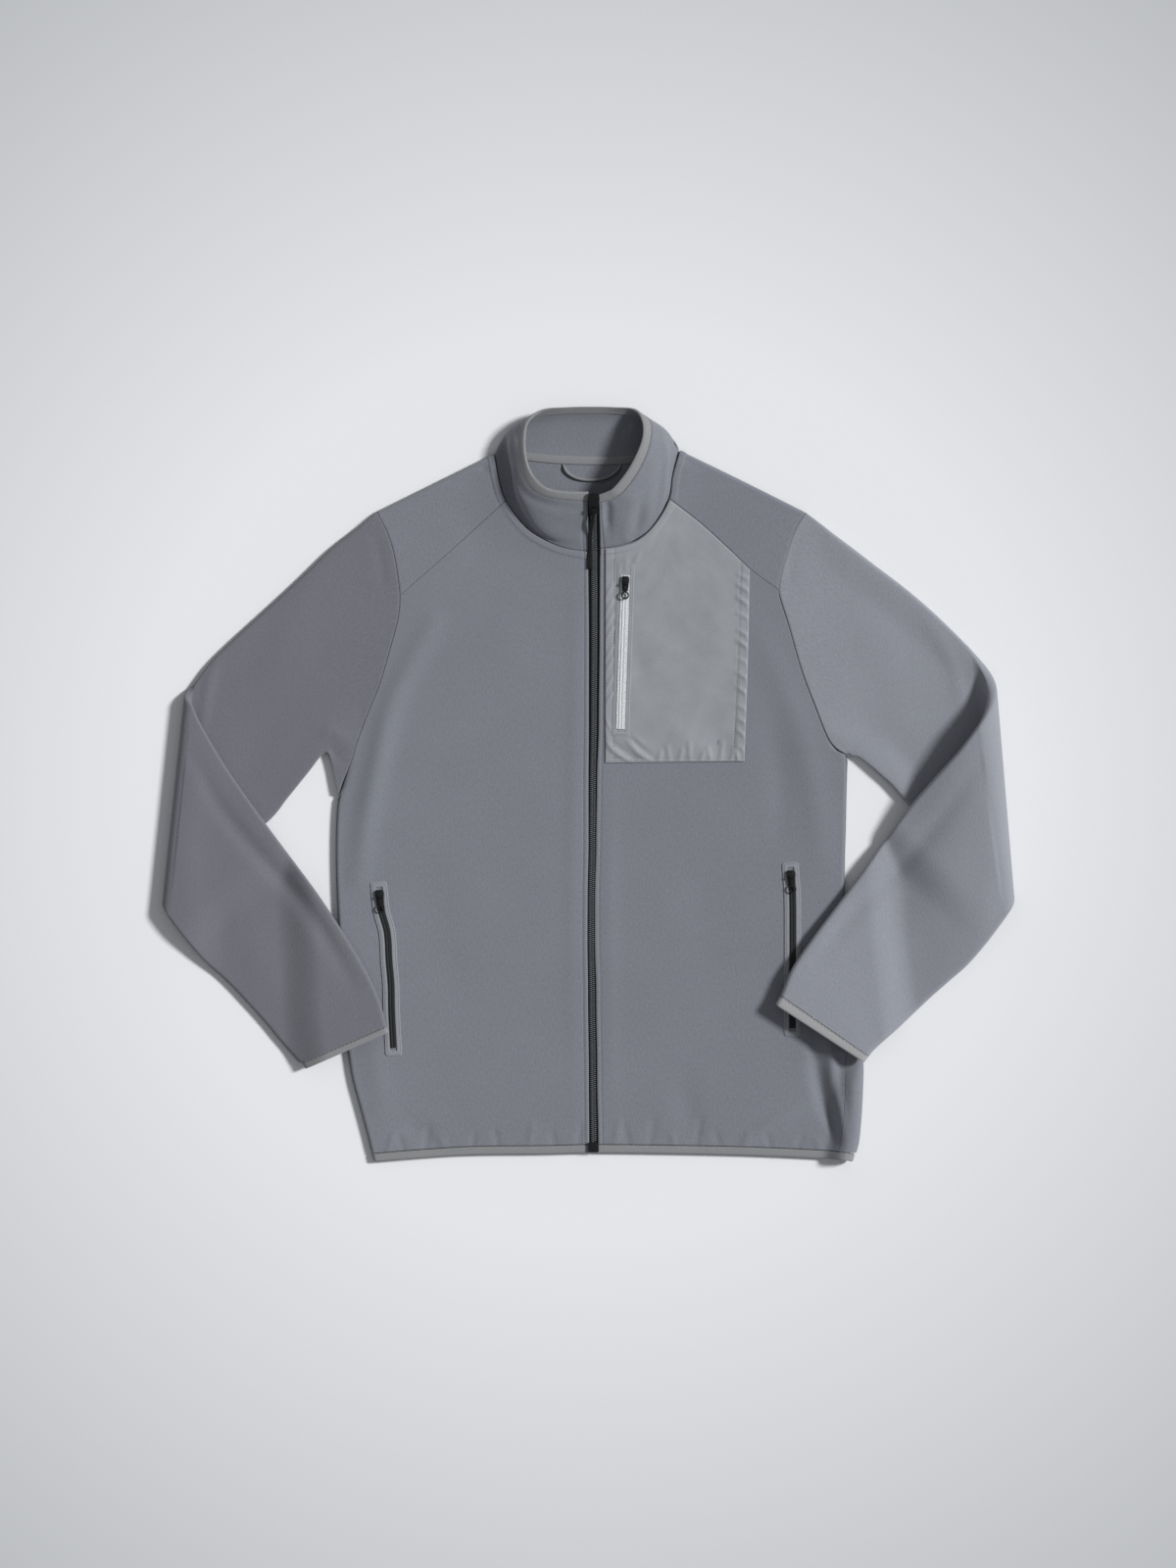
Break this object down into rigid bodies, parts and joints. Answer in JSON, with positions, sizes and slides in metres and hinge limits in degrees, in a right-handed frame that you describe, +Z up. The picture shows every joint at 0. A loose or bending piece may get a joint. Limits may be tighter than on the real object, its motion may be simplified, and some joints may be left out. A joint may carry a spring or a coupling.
{
  "type": "fleece zip jacket",
  "caption": "Laid-out fleece jacket with a stand collar, full-length zip, woven chest panel with a zip pocket, side zip pockets and sleeves folded over at the elbow.",
  "frame": {"origin": "on the surface the jacket lies on, under the middle of its outline", "axes": "+X towards the wearer's left, +Y from the hem to the collar, +Z up out of the surface"},
  "size_m": [0.8685, 0.77, 0.0467],
  "materials": {
    "fleece": "smooth-faced knit fleece, grey melange, soft sheen",
    "sleeve_fleece": "the same fleece, a shade darker",
    "binding": "elastic binding, fine rib, light grey",
    "woven_nylon": "thin woven nylon, matt with a slight sheen",
    "zip_tape": "black woven tape with a coil chain",
    "reflective_tape": "pale coated tape with fine lengthwise lines",
    "slider_metal": "black enamelled metal, half gloss"
  },
  "bodies": {
    "root": {"right_front": "fleece", "left_front": "fleece", "right_yoke": "fleece", "left_yoke": "fleece", "back_panel": "fleece", "right_sleeve": "sleeve_fleece", "left_sleeve": "sleeve_fleece", "right_cuff_binding": "binding", "left_cuff_binding": "binding", "collar": "fleece", "collar_binding": "binding", "hem_binding": "binding", "main_zip": "zip_tape", "zip_end_box": "slider_metal", "chest_panel": "woven_nylon", "chest_zip": "reflective_tape", "chest_slider": "slider_metal", "right_pocket_zip": "zip_tape", "right_pocket_slider": "slider_metal", "left_pocket_zip": "zip_tape", "left_pocket_slider": "slider_metal", "main_slider": "slider_metal", "neck_tape": "binding", "hanger_loop": "binding"},
    "main_pull": {"main_pull": "slider_metal"},
    "chest_pull": {"chest_pull": "slider_metal"},
    "right_pocket_pull": {"right_pocket_pull": "slider_metal"},
    "left_pocket_pull": {"left_pocket_pull": "slider_metal"}
  },
  "joints": [
    {"name": "main_pull_hinge", "type": "hinge", "parent": "root", "child": "main_pull", "pos_m": [0.00579, 0.27836, 0.03623], "axis": [-1, 0, 0], "range_deg": [0, 150]},
    {"name": "chest_pull_hinge", "type": "hinge", "parent": "root", "child": "chest_pull", "pos_m": [0.03809, 0.20427, 0.01415], "axis": [-0.9994, 0.0351, 0], "range_deg": [0, 160]},
    {"name": "right_pocket_pull_hinge", "type": "hinge", "parent": "root", "child": "right_pocket_pull", "pos_m": [-0.2123, -0.11516, 0.01309], "axis": [-0.996, -0.0895, 0], "range_deg": [0, 160]},
    {"name": "left_pocket_pull_hinge", "type": "hinge", "parent": "root", "child": "left_pocket_pull", "pos_m": [0.20706, -0.09508, 0.01291], "axis": [-0.9965, -0.0834, 0], "range_deg": [0, 160]}
  ]
}
